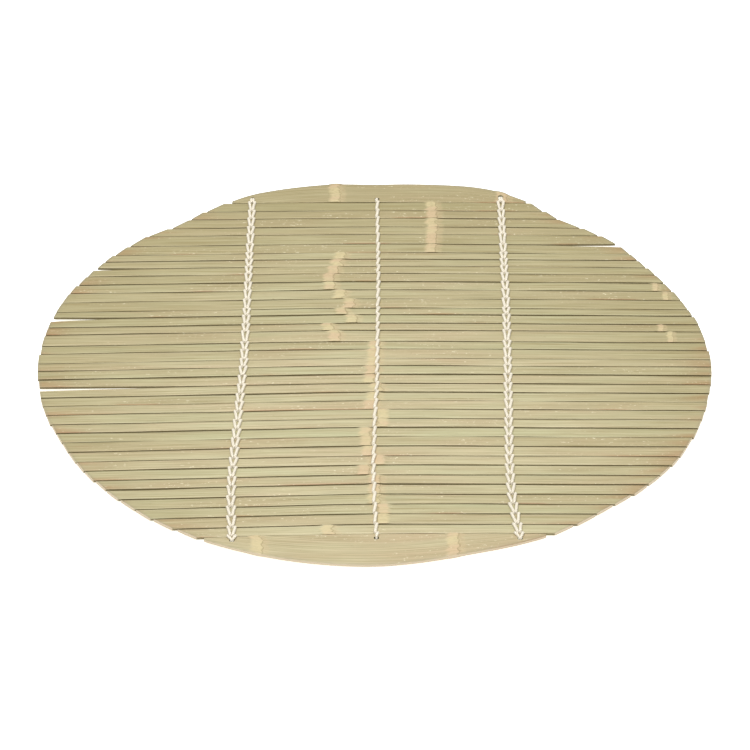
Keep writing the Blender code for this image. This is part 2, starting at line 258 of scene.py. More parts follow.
    # brown patches at the slats' sawn ends
    placeY = addNode(tree, "ShaderNodeSeparateXYZ", {0: place}).outputs["Y"]
    fromMiddle = addNode(tree, kind, {0: placeY}, operation="ABSOLUTE")
    lastSlat, endPieces = bamboo["slatsReach"]
    onSlats = addNode(tree, ramp, {0: fromMiddle, 1: lastSlat, 2: endPieces, 3: 1.0, 4: 0.0})
    nearEnd = addNode(tree, kind, {0: beside("rimOffset", "endStain"), 1: onSlats}, operation="MULTIPLY")
    endShare = addNode(tree, kind, {0: marks["endStains"], 1: nearEnd}, operation="MULTIPLY")
    stained = coat(browned, "stain", endShare)

    # culm node: a pale ring, a mottled one and a dark hairline between them, ragged along the fibres
    fine, coarse = bamboo["raggedness"]
    byBand = addNode(tree, kind, {0: bands, 1: coarse, 2: -(fine + coarse) / 2}, operation="MULTIPLY_ADD")
    ragged = addNode(tree, kind, {0: hairs, 1: fine, 2: byBand}, operation="MULTIPLY_ADD")
    onNode = addNode(tree, kind, {0: facts["nodeOffset"], 1: ragged}, operation="ADD")

    def ring(name):
        middle, half, blur, strength = bamboo[name]
        off = addNode(tree, kind, {0: onNode, 1: middle}, operation="SUBTRACT")
        aside = addNode(tree, kind, {0: off}, operation="ABSOLUTE")
        return addNode(tree, ramp, {0: aside, 1: half, 2: half + blur, 3: strength, 4: 0.0})

    flecked = addNode(tree, ramp, {0: flecks, 1: 0.36, 2: 0.58, 3: 0.6, 4: 1.0})
    paleShare = addNode(tree, kind, {0: ring("paleRing"), 1: flecked}, operation="MULTIPLY")
    paleColour = coat("cream", "peach", addNode(tree, ramp, {0: patches, 1: 0.42, 2: 0.58}))
    mottleColour = coat("mottle", "cream", addNode(tree, ramp, {0: flecks, 1: 0.4, 2: 0.6}))
    mottled = coat(stained, mottleColour, ring("mottledRing"))
    ringed = coat(coat(mottled, paleColour, paleShare), "hairline", ring("darkRing"))

    # split sides darkened as painted shade, a line of painted shade beside a sawn end, and the sawn end
    # itself
    normal = addNode(tree, "ShaderNodeNewGeometry").outputs["Normal"]
    facingUp = addNode(tree, "ShaderNodeSeparateXYZ", {0: normal}).outputs["Z"]
    upness = addNode(tree, kind, {0: facingUp}, operation="ABSOLUTE")
    steep = addNode(tree, ramp, {0: upness, 1: 0.25, 2: 0.7, 3: bamboo["sideStrength"], 4: 0.0})
    # the painted rim shade is stronger towards the far side, where the eased edges face away from the light
    weak, strong = bamboo["paintedRimShadeStrength"]
    farness = addNode(tree, ramp, {0: placeY, 1: 0.0, 2: bamboo["farSide"], 3: weak, 4: strong})
    paintedRimShade = addNode(tree, kind, {0: beside("rimOffset", "paintedRimShade"), 1: farness}, operation="MULTIPLY")
    # steep faces: the split sides' painted shade, or the colour of a sawn end
    sideColour = coat("side", "cut", beside("rimOffset", "sawnEnd"))
    finished = coat(coat(ringed, "rimShadeColour", paintedRimShade), sideColour, steep)
    tree.links.new(finished, shader.inputs["Base Color"])

    smoothest, roughest = bamboo["roughness"] - 0.07, bamboo["roughness"] + 0.1
    roughness = addNode(tree, ramp, {0: fibres, 1: 0.3, 2: 0.7, 3: smoothest, 4: roughest})
    tree.links.new(roughness.outputs[0], shader.inputs["Roughness"])
    height = addNode(tree, kind, {0: hairs, 1: 0.5, 2: fibres}, operation="MULTIPLY_ADD")
    bump = addNode(tree, "ShaderNodeBump", {"Height": height, "Strength": 1.0, "Distance": bamboo["relief"]})
    tree.links.new(bump.outputs[0], shader.inputs["Normal"])
    return material


cotton = {
    "thread": "#EBE4D2",
    # painted shade for the grooves between the plies
    "groove": "#B9A98F",
    "fuzzSize": 0.12 * mm,
    "roughness": 0.9,
    "sheen": 0.25,
    "relief": 0.03 * mm,
}


def makeTwistedCotton():
    # Soft cotton cord, three plies twisted: off-white and quite matt, with painted shade in the grooves
    # between the plies.
    material = bpy.data.materials.new("twistedCotton")
    material.use_nodes = True
    tree = material.node_tree
    shader = tree.nodes["Principled BSDF"]
    groove = addNode(tree, "ShaderNodeAttribute", attribute_name="groove").outputs["Fac"]
    place = addNode(tree, "ShaderNodeTexCoord").outputs["Object"]
    fuzz = addNode(tree, "ShaderNodeTexNoise", {"Vector": place, "Scale": 1 / cotton["fuzzSize"],
                                                "Detail": 3.0, "Roughness": 0.6}).outputs["Fac"]
    # painted shade, deepest in the grooves between the plies
    depth = addNode(tree, "ShaderNodeMapRange", {"Value": groove, 1: 0.35, 2: 1.0, 3: 0.0, 4: 0.75})
    colour = addNode(tree, "ShaderNodeMix", {0: depth, 6: toLinear(cotton["thread"]),
                                             7: toLinear(cotton["groove"])}, data_type="RGBA").outputs[2]
    tree.links.new(colour, shader.inputs["Base Color"])
    shader.inputs["Roughness"].default_value = cotton["roughness"]
    shader.inputs["Sheen Weight"].default_value = cotton["sheen"]
    bump = addNode(tree, "ShaderNodeBump", {"Height": fuzz, "Strength": 1.0, "Distance": cotton["relief"]})
    tree.links.new(bump.outputs[0], shader.inputs["Normal"])
    return material


splitBamboo = makeSplitBamboo()
twistedCotton = makeTwistedCotton()


# reading the bamboo's edges and culm nodes off the frame

edges = {
    "samples": 81,           # points along each edge
    "softening": 7,          # samples averaged, so that the bends run soft
    "wobble": 0.09 * mm,     # how far a split edge wanders from straight
    "wobbleLengths": (0.047, 0.083, 0.139),
    "closing": (0.08 * mm, 0.36 * mm),   # how far a slat's edge reaches into the frame's gap
    "farSeamClosing": (0.26 * mm, 0.6 * mm),   # the far end piece and the first slat almost touch
    "sameHeight": 0.01 * mm,
    "sameColumn": 0.02 * mm,
    "nodeSpacing": 12 * mm,  # the least distance between two culm nodes on a slat
    "holeMargin": 1.3 * mm,  # corners this near to a hole's middle belong to the hole
    "seed": 5,
}
chance = random.Random(edges["seed"])


def floorCorners(name):
    found = {tuple(round(c, 6) for c in v.co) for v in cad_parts[name].data.vertices}
    corners = np.array(sorted(found))
    return corners[corners[:, 2] < corners[:, 2].min() + edges["sameHeight"]][:, :2]


def culmNodes(name):
    # x of each raised culm node
    heights = {(round(v.co.x, 6), round(v.co.z, 6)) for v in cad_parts[name].data.vertices}
    top = max(z for x, z in heights)
    xs = np.array(sorted(x for x, z in heights if z > top - edges["sameHeight"]))
    groups = np.split(xs, np.where(np.diff(xs) > edges["nodeSpacing"])[0] + 1)
    return [float(group[0] + group[-1]) / 2 for group in groups]


def splitEdge(points, closing, wander=1.0):
    # an edge as splitting leaves it: even steps of x, bends softened, a slight wander, moved by closing
    xs = np.linspace(points[0][0], points[-1][0], edges["samples"])
    ys = np.interp(xs, points[:, 0], points[:, 1])
    half = edges["softening"] // 2
    padded = np.concatenate([2 * ys[0] - ys[half:0:-1], ys, 2 * ys[-1] - ys[-2:-half - 2:-1]])
    ys = np.convolve(padded, np.ones(edges["softening"]) / edges["softening"], mode="valid") + closing
    for length in edges["wobbleLengths"]:
        phase = chance.uniform(0, 2 * math.pi)
        reach = chance.uniform(0.3, 1.0) * edges["wobble"] * wander
        ys = ys + reach * np.sin(2 * math.pi * xs / length + phase)
    return np.column_stack([xs, ys, np.zeros_like(xs)])


def slatRails(name):
    # far and near edge of a slat, each from left to right
    corners = floorCorners(name)
    spine = np.polyval(np.polyfit(corners[:, 0], corners[:, 1], 4), corners[:, 0])
    far = corners[corners[:, 1] > spine]
    near = corners[corners[:, 1] <= spine]
    closings = [chance.uniform(*edges["closing"]) for _ in range(2)]
    if name == slatNames[0]:
        closings = [edges["farSeamClosing"][1], edges["closing"][0]]
    return splitEdge(far, closings[0]), splitEdge(near, -closings[1])


def endPieceRails(name, holes):
    # far and near edge of an end piece: the rim, cut by hand, and the straight inside edge
    isFar = name == "end_piece_far"
    corners = floorCorners(name)
    margin = edges["holeMargin"]
    corners = corners[np.all([np.hypot(*(corners - hole).T) > margin for hole in holes], axis=0)]
    corners = corners[corners[:, 0].argsort()]
    columns = np.split(corners, np.where(np.diff(corners[:, 0]) > edges["sameColumn"])[0] + 1)
    columns = [column for column in columns if len(column) > 1]
    far = np.array([column[column[:, 1].argmax()] for column in columns])
    near = np.array([column[column[:, 1].argmin()] for column in columns])
    if isFar:
        return splitEdge(far, 0.0, 0.0), splitEdge(near, -edges["farSeamClosing"][0], 0.5)
    return splitEdge(far, chance.uniform(*edges["closing"])), splitEdge(near, 0.0, 0.0)


# the cords' routes, as the frame has them: y and x from the far hole to the near one, in mm
cordRoutes = {
    "cord_left": ((110.0, -46.5), (0.0, -46.75), (-20.0, -47.4), (-70.0, -49.0),
                  (-85.0, -48.9), (-107.4, -47.9)),
    "cord_centre": ((109.6, 1.0), (56.0, 1.4), (0.0, 0.95), (-16.0, 0.85),
                    (-34.0, 0.15), (-67.0, -0.4), (-84.0, -0.05), (-105.9, 0.7)),
    "cord_right": ((111.0, 48.0), (38.0, 48.2), (0.0, 47.7), (-25.0, 47.3),
                   (-64.0, 46.6), (-77.0, 46.7), (-87.0, 47.2), (-106.2, 49.0)),
}


def holePlace(route, index):
    return np.array([route[index][1] * mm, route[index][0] * mm])


farHoles = [holePlace(route, 0) for route in cordRoutes.values()]
nearHoles = [holePlace(route, -1) for route in cordRoutes.values()]
stripNames = ["end_piece_far"] + slatNames + ["end_piece_near"]
rails = {name: slatRails(name) for name in slatNames}
rails["end_piece_far"] = endPieceRails("end_piece_far", farHoles)
rails["end_piece_near"] = endPieceRails("end_piece_near", nearHoles)
print("edges read:", len(rails), "strips of bamboo")


# strips of bamboo: a fine grid drawn between a far and a near edge

def makeStripTree():
    tree, given, result = startTree("bamboo strip", {
        "Far Edges": "Object", "Near Edges": "Object", "Columns": "Int", "Rows": "Int",
        "Crowding": "Float", "Underside": "Float", "Thickness": "Float", "Crown": "Float",
        "Edge Width": "Float", "Edge Drop": "Float", "Lower Share": "Float", "Crease": "Float",
        "Node Crest": "Float", "Node Foot": "Float", "Node Rise": "Float", "Node Bulge": "Float",
        "Second Node Size": "Float", "Lane": "Float", "Sawn Side": "Float", "Material": "Material"})
    kind = "ShaderNodeMath"

    # a block for each point of the host, its corners numbered from 0 to 1 along, across and up
    block = addNode(tree, "GeometryNodeMeshCube", {
        "Vertices X": given["Columns"], "Vertices Y": given["Rows"], "Vertices Z": 3,
        "Size": (1.0, 1.0, 1.0)})
    corner = addNode(tree, "ShaderNodeVectorMath", {0: addNode(tree, "GeometryNodeInputPosition"),
                                                    1: (0.5, 0.5, 0.5)}, operation="ADD")
    numbered = addNode(tree, "GeometryNodeStoreNamedAttribute", {"Geometry": block, "Name": "share",
                                                                 "Value": corner}, data_type="FLOAT_VECTOR")
    placed = addNode(tree, "GeometryNodeInstanceOnPoints", {"Points": given["Geometry"],
                                                            "Instance": numbered})
    real = addNode(tree, "GeometryNodeRealizeInstances", {"Geometry": placed})
    share = addNode(tree, "GeometryNodeInputNamedAttribute", {"Name": "share"}, data_type="FLOAT_VECTOR")
    along, across, level = addNode(tree, "ShaderNodeSeparateXYZ", {0: share}).outputs
    facts = {name: addNode(tree, "GeometryNodeInputNamedAttribute", {"Name": name}, data_type="FLOAT")
             for name in ("nodeX", "secondNodeX", "nodeShare", "nodeTurn", "lift", "roll")}
    number = addNode(tree, "GeometryNodeInputNamedAttribute", {"Name": "strip"}, data_type="INT")

    # columns crowd towards the culm node
    fromNode = addNode(tree, kind, {0: along, 1: facts["nodeShare"]}, operation="SUBTRACT")
    past = addNode(tree, kind, {0: fromNode, 1: 0.0}, operation="GREATER_THAN")
    beyond = addNode(tree, kind, {0: 1.0, 1: facts["nodeShare"]}, operation="SUBTRACT")
    span = addNode(tree, "ShaderNodeMix", {0: past, 2: facts["nodeShare"], 3: beyond}, data_type="FLOAT")
    away = addNode(tree, kind, {0: fromNode}, operation="ABSOLUTE")
    reach = addNode(tree, kind, {0: away, 1: span}, operation="DIVIDE")
    crowded = addNode(tree, kind, {0: reach, 1: given["Crowding"]}, operation="POWER")
    step = addNode(tree, kind, {0: crowded, 1: span}, operation="MULTIPLY")
    sign = addNode(tree, kind, {0: fromNode}, operation="SIGN")
    signed = addNode(tree, kind, {0: step, 1: sign}, operation="MULTIPLY")
    factor = addNode(tree, kind, {0: facts["nodeShare"], 1: signed}, operation="ADD", use_clamp=True)

    # rows crowd towards the two edges
    halfTurn = addNode(tree, kind, {0: across, 1: math.pi}, operation="MULTIPLY")
    turn = addNode(tree, kind, {0: halfTurn}, operation="COSINE")
    row = addNode(tree, kind, {0: turn, 1: -0.5, 2: 0.5}, operation="MULTIPLY_ADD")
    ends = {}
    for label in ("Far Edges", "Near Edges"):
        guide = addNode(tree, "GeometryNodeObjectInfo", {0: given[label]}).outputs["Geometry"]
        ends[label] = addNode(tree, "GeometryNodeSampleCurve", {"Curves": guide, "Factor": factor,
                                                               "Curve Index": number},
                              mode="FACTOR").outputs["Position"]
    flat = addNode(tree, "ShaderNodeMix", {0: row, 4: ends["Near Edges"], 5: ends["Far Edges"]},
                   data_type="VECTOR").outputs[1]
    width = addNode(tree, "ShaderNodeVectorMath", {0: ends["Near Edges"], 1: ends["Far Edges"]},
                    operation="DISTANCE").outputs["Value"]
    x = addNode(tree, "ShaderNodeSeparateXYZ", {0: flat}).outputs[0]
    fromMiddle = addNode(tree, kind, {0: row, 1: 0.5}, operation="SUBTRACT")
    aside = addNode(tree, kind, {0: fromMiddle}, operation="ABSOLUTE")
    fromEdge = addNode(tree, kind, {0: 0.5, 1: aside}, operation="SUBTRACT")
    toEdge = addNode(tree, kind, {0: fromEdge, 1: width}, operation="MULTIPLY")

    # the nearer of up to two culm nodes
    offsets = [addNode(tree, kind, {0: x, 1: facts[name]}, operation="SUBTRACT")
               for name in ("nodeX", "secondNodeX")]
    sizes = [addNode(tree, kind, {0: offset}, operation="ABSOLUTE") for offset in offsets]
    second = addNode(tree, kind, {0: sizes[1], 1: sizes[0]}, operation="LESS_THAN")
    nodeOffset = addNode(tree, "ShaderNodeMix", {0: second, 2: offsets[0], 3: offsets[1]}, data_type="FLOAT")
    nodeSize = addNode(tree, "ShaderNodeMix", {0: second, 2: 1.0, 3: given["Second Node Size"]},
                       data_type="FLOAT")
    fromCrest = addNode(tree, kind, {0: nodeOffset}, operation="ABSOLUTE")
    nodeReach = addNode(tree, kind, {0: fromCrest, 1: nodeSize}, operation="DIVIDE")
    swell = addNode(tree, "ShaderNodeMapRange", {"Value": nodeReach, 1: given["Node Crest"],
                                                 2: given["Node Foot"], 3: 1.0, 4: 0.0},
                    interpolation_type="SMOOTHSTEP")

    # height: flat underneath, crowned on top, both long edges eased
    rise = addNode(tree, kind, {0: swell, 1: given["Node Rise"], 2: given["Thickness"]},
                   operation="MULTIPLY_ADD")
    height = addNode(tree, kind, {0: rise, 1: level, 2: given["Underside"]}, operation="MULTIPLY_ADD")
    easing = addNode(tree, "ShaderNodeMapRange", {"Value": toEdge, 1: 0.0, 2: given["Edge Width"],
                                                  3: 1.0, 4: 0.0})
    curved = addNode(tree, kind, {0: easing, 1: 2.0}, operation="POWER")
    eased = addNode(tree, kind, {0: curved, 1: given["Edge Drop"]}, operation="MULTIPLY")
    upDown = addNode(tree, "ShaderNodeMapRange", {"Value": level, 1: 0.0, 2: 1.0,
                                                  3: given["Lower Share"], 4: -1.0})
    rounded = addNode(tree, kind, {0: eased, 1: upDown, 2: height}, operation="MULTIPLY_ADD")
    arch = addNode(tree, kind, {0: aside, 1: 2.0}, operation="POWER")
    bow = addNode(tree, kind, {0: arch, 1: level}, operation="MULTIPLY")
    dip = addNode(tree, kind, {0: bow, 1: given["Crown"]}, operation="MULTIPLY")
    crowned = addNode(tree, kind, {0: rounded, 1: dip}, operation="SUBTRACT")
    tilted = addNode(tree, kind, {0: fromMiddle, 1: facts["roll"], 2: crowned}, operation="MULTIPLY_ADD")
    z = addNode(tree, kind, {0: tilted, 1: facts["lift"]}, operation="ADD")
    widening = addNode(tree, kind, {0: swell, 1: given["Node Bulge"]}, operation="MULTIPLY")
    bulge = addNode(tree, kind, {0: widening, 1: fromMiddle}, operation="MULTIPLY")
    shift = addNode(tree, "ShaderNodeCombineXYZ", {"Y": bulge, "Z": z})
    target = addNode(tree, "ShaderNodeVectorMath", {0: flat, 1: shift}, operation="ADD")

    # what the bamboo's finish reads
    lane = addNode(tree, kind, {0: number, 1: given["Lane"]}, operation="MULTIPLY")
    fibreY = addNode(tree, kind, {0: fromMiddle, 1: width, 2: lane}, operation="MULTIPLY_ADD")
    fibre = addNode(tree, "ShaderNodeCombineXYZ", {"X": x, "Y": fibreY, "Z": z})
    fromRight = addNode(tree, kind, {0: 1.0, 1: factor}, operation="SUBTRACT")
    endShare = addNode(tree, kind, {0: factor, 1: fromRight}, operation="MINIMUM")
    nearEdges = addNode(tree, "GeometryNodeObjectInfo", {0: given["Near Edges"]}).outputs["Geometry"]
    tip = addNode(tree, "GeometryNodeSampleCurve", {"Curves": nearEdges, "Factor": 1.0,
                                                    "Curve Index": number},
                  mode="FACTOR").outputs["Position"]
    tipX = addNode(tree, "ShaderNodeSeparateXYZ", {0: tip}).outputs[0]
    wholeLength = addNode(tree, kind, {0: tipX, 1: 2.0}, operation="MULTIPLY")
    endOffset = addNode(tree, kind, {0: endShare, 1: wholeLength}, operation="MULTIPLY")
    fromSawn = addNode(tree, kind, {0: row, 1: given["Sawn Side"]}, operation="SUBTRACT")
    sawnShare = addNode(tree, kind, {0: fromSawn}, operation="ABSOLUTE")
    sawnOffset = addNode(tree, kind, {0: sawnShare, 1: width}, operation="MULTIPLY")
    rimOffset = addNode(tree, kind, {0: endOffset, 1: sawnOffset}, operation="MINIMUM")
    turned = addNode(tree, kind, {0: nodeOffset, 1: facts["nodeTurn"]}, operation="MULTIPLY")
    onNode = addNode(tree, kind, {0: turned, 1: nodeSize}, operation="DIVIDE")
    body = real
    for name, value, sort in (("fibre", fibre, "FLOAT_VECTOR"), ("nodeOffset", onNode, "FLOAT"),
                              ("edgeOffset", toEdge, "FLOAT"), ("rimOffset", rimOffset, "FLOAT")):
        body = addNode(tree, "GeometryNodeStoreNamedAttribute", {"Geometry": body, "Name": name,
                                                                 "Value": value}, data_type=sort)
    moved = addNode(tree, "GeometryNodeSetPosition", {"Geometry": body, "Position": target})
    smooth = addNode(tree, "GeometryNodeSetShadeSmooth", {"Geometry": moved, "Shade Smooth": True})
    bend = addNode(tree, "GeometryNodeInputMeshEdgeAngle")
    sharp = addNode(tree, kind, {0: bend, 1: given["Crease"]}, operation="GREATER_THAN")
    creased = addNode(tree, "GeometryNodeSetShadeSmooth", {"Geometry": smooth, "Selection": sharp,
                                                           "Shade Smooth": False}, domain="EDGE")
    coated = addNode(tree, "GeometryNodeSetMaterial", {"Geometry": creased, "Material": given["Material"]})
    tree.links.new(coated.outputs[0], result.inputs[0])
    return tree


slat = {
    "Columns": 140,
    "Rows": 7,
    "Crowding": 1.35,
    "Underside": 0.9 * mm,
    "Thickness": 1.15 * mm,
    "Crown": 0.06 * mm,
    "Edge Width": 0.32 * mm,
    "Edge Drop": 0.18 * mm,
    "Lower Share": 0.6,       # of that drop, by which the lower edges rise
    "Crease": math.radians(42),   # a mesh edge that bends more is drawn sharp
    "Node Crest": 0.6 * mm,
    "Node Foot": 3.6 * mm,
    "Node Rise": 0.3 * mm,
    "Node Bulge": 0.4 * mm,
    "Lane": 8 * mm,
    "Sawn Side": 3.0,         # which long side is on the rim: 1 the far one, 0 the near one, 3 neither
    "Second Node Size": 0.55,
}
slatScatter = {
    "lift": 0.08 * mm,
    "roll": 0.16 * mm,
    "tone": 1.0,
    "warmth": 0.45,
    "age": 0.22,
    "turnedNodes": (1.2 * mm, 10 * mm),   # x of the culm nodes whose pale ring lies right of the hairline
    "seed": 21,
}
endPiece = dict(slat, Columns=260, Rows=17, Crowding=1.0, Thickness=1.2 * mm, Crown=0.12 * mm)
endPiece["Second Node Size"] = 1.0
stripTree = makeStripTree()


def growStrips(name, members, sizes):
    dice = random.Random(slatScatter["seed"] + len(members))
    facts = {key: [] for key in ("strip", "nodeX", "secondNodeX", "nodeShare", "nodeTurn", "lift", "roll",
                                 "tone", "warmth", "age")}
    first, last = slatScatter["turnedNodes"]
    for number, member in enumerate(members):
        far, near = rails[member]
        found = sorted(culmNodes(member), key=abs)
        middle = (far + near) / 2
        left, right = middle[0][0], middle[-1][0]
        facts["strip"].append(number)
        facts["nodeX"].append(found[0])
        facts["secondNodeX"].append(found[1] if len(found) > 1 else 1.0)
        facts["nodeShare"].append((found[0] - left) / (right - left))
        facts["nodeTurn"].append(-1.0 if first < found[0] < last else 1.0)
        facts["lift"].append(dice.uniform(-1, 1) * slatScatter["lift"])
        facts["roll"].append(dice.uniform(-1, 1) * slatScatter["roll"])
        for fact in ("tone", "warmth", "age"):
            facts[fact].append(dice.uniform(0, slatScatter[fact]))
    farGuide = newGuide(name + "_far_edges", [rails[member][0] for member in members])
    nearGuide = newGuide(name + "_near_edges", [rails[member][1] for member in members])
    piece = newPiece(name, [(0, 0, 0)] * len(members), facts)
    growMesh(piece, stripTree, {**sizes, "Far Edges": farGuide, "Near Edges": nearGuide,
                                "Material": splitBamboo})
    for guide in (farGuide, nearGuide):
        bpy.data.objects.remove(guide, do_unlink=True)
    return piece


slats = growStrips("slats", slatNames, slat)
farPiece = growStrips("far_end_piece", ["end_piece_far"], {**endPiece, "Sawn Side": 1.0})
nearPiece = growStrips("near_end_piece", ["end_piece_near"], {**endPiece, "Sawn Side": 0.0})


# heights of the bamboo's top and underside, for the cords to lie on

def bambooSurface(pieces):
    corners, faces = [], []
    for piece in pieces:
        first = len(corners)
        corners += [v.co.copy() for v in piece.data.vertices]
        faces += [[first + index for index in polygon.vertices] for polygon in piece.data.polygons]
    return BVHTree.FromPolygons(corners, faces)


surface = bambooSurface((slats, farPiece, nearPiece))


drill = {
    "radius": 0.9 * mm,
    "segments": 32,
    "depth": 8 * mm,
    "height": 2 * mm,         # of the drill's middle
    "wallMargin": 0.02 * mm,  # corners this near to the drill are on the hole's wall
    "fromMarks": 20 * mm,     # the wall counts as this far from the rim and from a culm node
}


def drillHoles(piece, holes):
    radius = drill["radius"]
    for place in holes:
        shape = bmesh.new()
        bmesh.ops.create_cone(shape, cap_ends=True, segments=drill["segments"], radius1=radius,
                              radius2=radius, depth=drill["depth"],
                              matrix=Matrix.Translation((place[0], place[1], drill["height"])))
        mesh = bpy.data.meshes.new("drill")
        shape.to_mesh(mesh)
        shape.free()
        cutter = bpy.data.objects.new("drill", mesh)
        bpy.context.scene.collection.objects.link(cutter)
        cut = piece.modifiers.new("hole", "BOOLEAN")
        cut.solver = "EXACT"
        cut.object = cutter
        evaluated = piece.evaluated_get(bpy.context.evaluated_depsgraph_get())
        drilled = bpy.data.meshes.new_from_object(evaluated)
        piece.modifiers.remove(cut)
        # the hole's wall is bamboo too, coloured like a split side as painted shade
        drilled.materials.clear()
        drilled.materials.append(splitBamboo)
        drilled.polygons.foreach_set("material_index", [0] * len(drilled.polygons))
        for corner in drilled.vertices:
            if math.hypot(corner.co.x - place[0], corner.co.y - place[1]) < radius + drill["wallMargin"]:
                for fact in ("rimOffset", "nodeOffset"):
                    drilled.attributes[fact].data[corner.index].value = drill["fromMarks"]
        piece.data = drilled
        bpy.data.objects.remove(cutter, do_unlink=True)


drillHoles(farPiece, farHoles)
drillHoles(nearPiece, nearHoles)


# cords: pairs of twisted strands, twined over and under every slat

cord = {
    "strandRadius": 0.56 * mm,
    # a strand's width along its way, as a share of its full width
    "squeeze": 0.72,             # between two slats
    "underWidth": 0.8,           # under a slat, where it is pressed flat
    "centreWidth": 1.05,         # on a slat, in the middle cord, where only one strand lies
    "edgeWidth": 0.92,           # at a slat's edge, against its width on or under the slat
    "holeWidth": 0.6,            # where it comes up out of its far hole
    # how far a strand lies from the cord's middle
    "doubleFar": (1.3 * mm, 1.05 * mm),   # at a slat's far edge: on the nearest and on the farthest slat
    "outerSlats": (-105 * mm, 105 * mm),  # y of those two
    "doubleNear": 0.4 * mm,
    "singleFar": 0.42 * mm,
    "singleNear": -0.3 * mm,
    "wander": 0.07 * mm,
    "endSpread": 0.3 * mm,
    # heights, as pairs for a strand over a strip and one under it where there are two
    "gapHeight": 1.65 * mm,      # where the strands cross between two slats
    "edgeShift": (-0.12 * mm, 0.2 * mm),    # at a slat's edge, against its height at rest
    "farHoleRise": (0.7 * mm, -0.85 * mm),  # beside a hole, above the bamboo's middle
    "nearHoleRise": (0.95 * mm, -0.9 * mm),
    "bedding": 0.88,             # of a strand's middle on a slat, in its radii
    "clearance": 1.08,           # and above the floor, at least
    # distances along the cord
    "edgeInset": 0.05 * mm,      # from a slat's edge to where a strand turns down
    "shoulder": 0.5 * mm,        # and to where it lies flat
    "farHoleSteps": (0.1 * mm, 0.45 * mm),  # from a hole's middle to the strand's first two points
    "nearHoleStep": 0.35 * mm,
    "seed": 8,
}
strand = {
    "Step": 0.25 * mm,
    "Sides": 12,
    "Ply Depth": 0.14,
    "Twist Length": 2.4 * mm,
}


def makeStrandTree():
    tree, given, result = startTree("twisted strand", {
        "Route": "Object", "Radius": "Float", "Step": "Float", "Sides": "Int", "Ply Depth": "Float",
        "Twist Length": "Float", "Material": "Material"})
    kind = "ShaderNodeMath"
    route = addNode(tree, "GeometryNodeObjectInfo", {0: given["Route"]}).outputs["Geometry"]
    soft = addNode(tree, "GeometryNodeCurveSplineType", {"Curve": route}, spline_type="CATMULL_ROM")
    fine = addNode(tree, "GeometryNodeSetSplineResolution", {0: soft, "Resolution": 8})
    even = addNode(tree, "GeometryNodeResampleCurve", {"Curve": fine, "Length": given["Step"]},
                   mode="LENGTH")
    length = addNode(tree, "GeometryNodeSplineParameter").outputs["Length"]
    turns = addNode(tree, kind, {0: length, 1: given["Twist Length"]}, operation="DIVIDE")
    tilt = addNode(tree, kind, {0: turns, 1: 2 * math.pi}, operation="MULTIPLY")
    twisted = addNode(tree, "GeometryNodeSetCurveTilt", {"Curve": even, "Tilt": tilt})

    # three plies: a round profile with three lobes
    circle = addNode(tree, "GeometryNodeCurvePrimitiveCircle", {"Resolution": given["Sides"], "Radius": 1.0})
    around = addNode(tree, "GeometryNodeSplineParameter").outputs["Factor"]
    angle = addNode(tree, kind, {0: around, 1: 6 * math.pi}, operation="MULTIPLY")
    lobes = addNode(tree, kind, {0: angle}, operation="COSINE")
    # how deep in a groove a profile point lies: it shapes the plies and places the painted groove shade
    groove = addNode(tree, kind, {0: lobes, 1: -0.5, 2: 0.5}, operation="MULTIPLY_ADD")
    marked = addNode(tree, "GeometryNodeStoreNamedAttribute", {"Geometry": circle, "Name": "groove",
                                                               "Value": groove}, data_type="FLOAT")
    depth = addNode(tree, kind, {0: groove, 1: given["Ply Depth"]}, operation="MULTIPLY")
    left = addNode(tree, kind, {0: 1.0, 1: depth}, operation="SUBTRACT")
    size = addNode(tree, kind, {0: left, 1: given["Radius"]}, operation="MULTIPLY")
    position = addNode(tree, "GeometryNodeInputPosition")
    place = addNode(tree, "ShaderNodeVectorMath", {0: position, "Scale": size}, operation="SCALE")
    profile = addNode(tree, "GeometryNodeSetPosition", {"Geometry": marked, "Position": place})
    width = addNode(tree, "GeometryNodeInputRadius")
    tube = addNode(tree, "GeometryNodeCurveToMesh", {"Curve": twisted, "Profile Curve": profile,
                                                     "Scale": width, "Fill Caps": True})
    smooth = addNode(tree, "GeometryNodeSetShadeSmooth", {"Geometry": tube, "Shade Smooth": True})
    real = addNode(tree, "GeometryNodeRealizeInstances", {"Geometry": smooth})
    coated = addNode(tree, "GeometryNodeSetMaterial", {"Geometry": real, "Material": given["Material"]})
    tree.links.new(coated.outputs[0], result.inputs[0])
    return tree


strandTree = makeStrandTree()
railY = {name: [(rail[:, 0], rail[:, 1]) for rail in pair] for name, pair in rails.items()}
underside = slat["Underside"]
midHeight = underside + slat["Thickness"] / 2


def cordX(route, y):
    ys = [place[0] * mm for place in reversed(route)]
    xs = [place[1] * mm for place in reversed(route)]
    return float(np.interp(y, ys, xs))


def edgeY(number, side, x):
    # y of a strip's far (0) or near (1) edge
    return float(np.interp(x, *railY[stripNames[number]][side]))


def restHeight(x, y, over):
    # height of a strand's middle where it lies on the bamboo or runs under it
    radius = cord["strandRadius"] * (1.0 if over else cord["underWidth"])
    start, down = (10 * mm, -1) if over else (-10 * mm, 1)
    hit = surface.ray_cast(Vector((x, y, start)), Vector((0, 0, down)))[0]
    z = hit.z if hit else (underside + slat["Thickness"] if over else underside)
    return z + cord["bedding"] * radius if over else max(z - radius, cord["clearance"] * radius)


def strandReach(name, side, y):
    # how far a strand lies from the cord's middle at a slat's far and near edge
    if name == "cord_centre":
        return cord["singleFar"], cord["singleNear"]
    far = float(np.interp(y, cord["outerSlats"], cord["doubleFar"]))
    return side * far, side * cord["doubleNear"]


